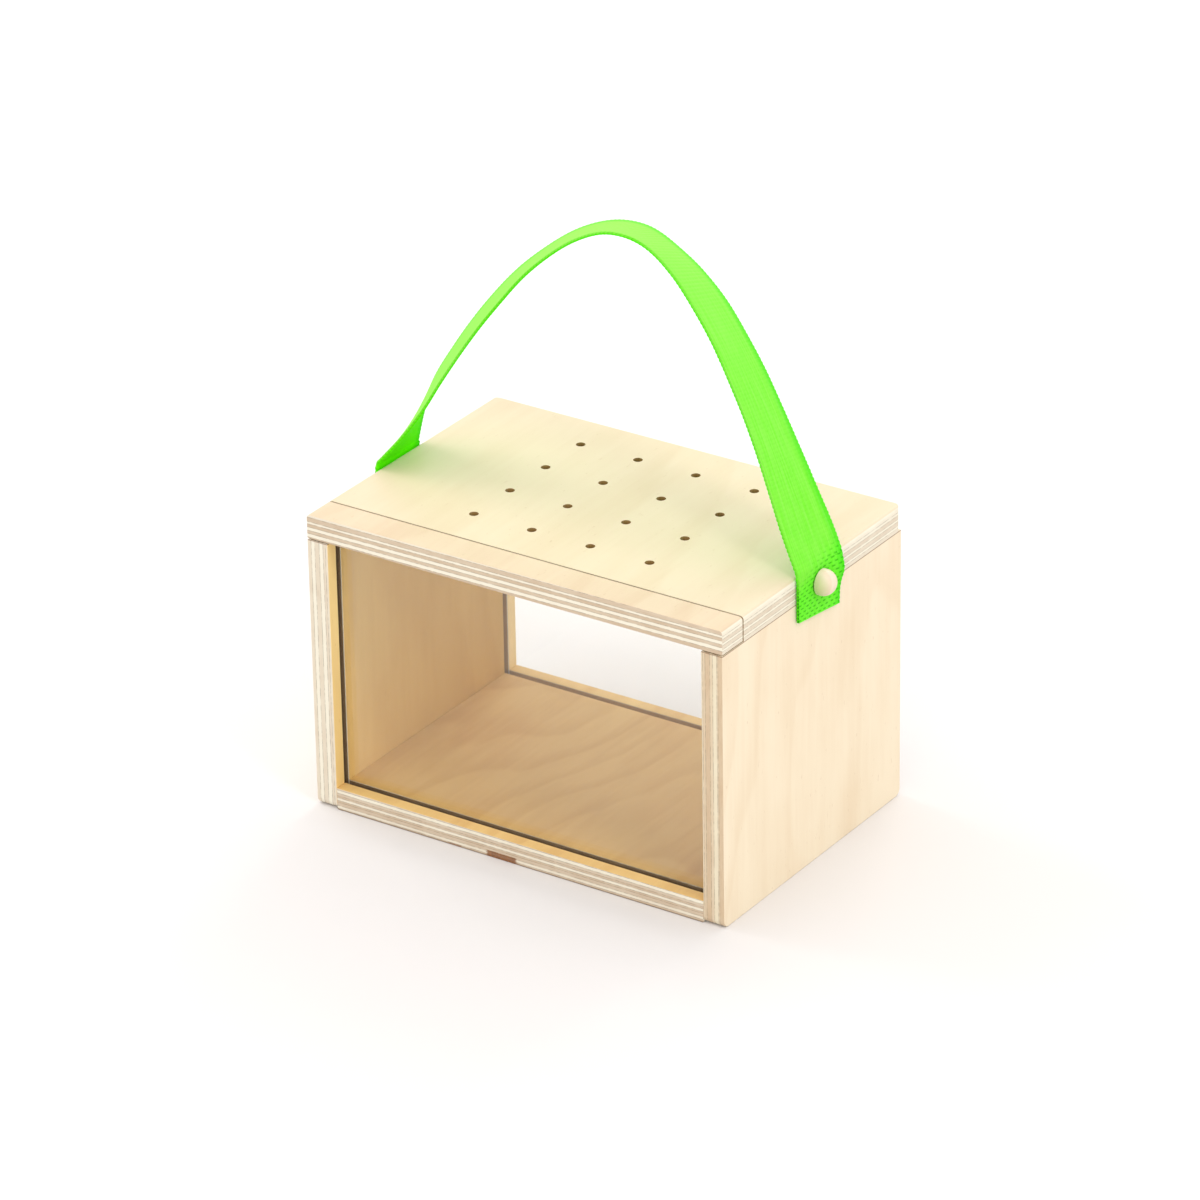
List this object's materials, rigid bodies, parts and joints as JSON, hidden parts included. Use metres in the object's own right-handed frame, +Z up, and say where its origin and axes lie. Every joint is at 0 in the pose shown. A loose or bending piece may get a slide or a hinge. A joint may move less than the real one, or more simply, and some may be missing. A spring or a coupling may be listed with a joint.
{
  "type": "bug house",
  "caption": "Small plywood box for watching insects: clear front and back panes, air holes in the top, a lift-out front pane under a wooden bar, and a webbing carrying strap on turned pegs.",
  "frame": {"origin": "middle of the box's underside, on the surface that it stands on", "axes": "+X along the front to the right, +Y from the front to the back, +Z up"},
  "size_m": [0.1962, 0.121, 0.2268],
  "materials": {
    "birch_ply": "sanded, satin",
    "birch_bar": "sanded, satin",
    "turned_wood": "turned, satin",
    "dowel_wood": "raw",
    "clear_acrylic": "clear, polished",
    "green_webbing": "woven, matt"
  },
  "bodies": {
    "box": {"side_left": "birch_ply", "side_right": "birch_ply", "base_board": "birch_ply", "top_board": "birch_ply", "back_pane": "clear_acrylic", "strap_peg_left": "turned_wood", "strap_peg_right": "turned_wood", "base_dowel_left_front": "dowel_wood", "base_dowel_left_back": "dowel_wood", "base_dowel_right_front": "dowel_wood", "base_dowel_right_back": "dowel_wood", "top_dowel_left_front": "dowel_wood", "top_dowel_left_back": "dowel_wood", "top_dowel_right_front": "dowel_wood", "top_dowel_right_back": "dowel_wood"},
    "door": {"lift_bar": "birch_bar", "front_pane": "clear_acrylic"},
    "strap": {"carry_strap": "green_webbing"}
  },
  "joints": [
    {"name": "door_lift", "type": "slide", "parent": "box", "child": "door", "axis": [0, 0, 1], "range_m": [0, 0.12]},
    {"name": "strap_swing", "type": "hinge", "parent": "box", "child": "strap", "pos_m": [0, 0.0018, 0.1135], "axis": [1, 0, 0], "range_deg": [-10, 9]}
  ]
}
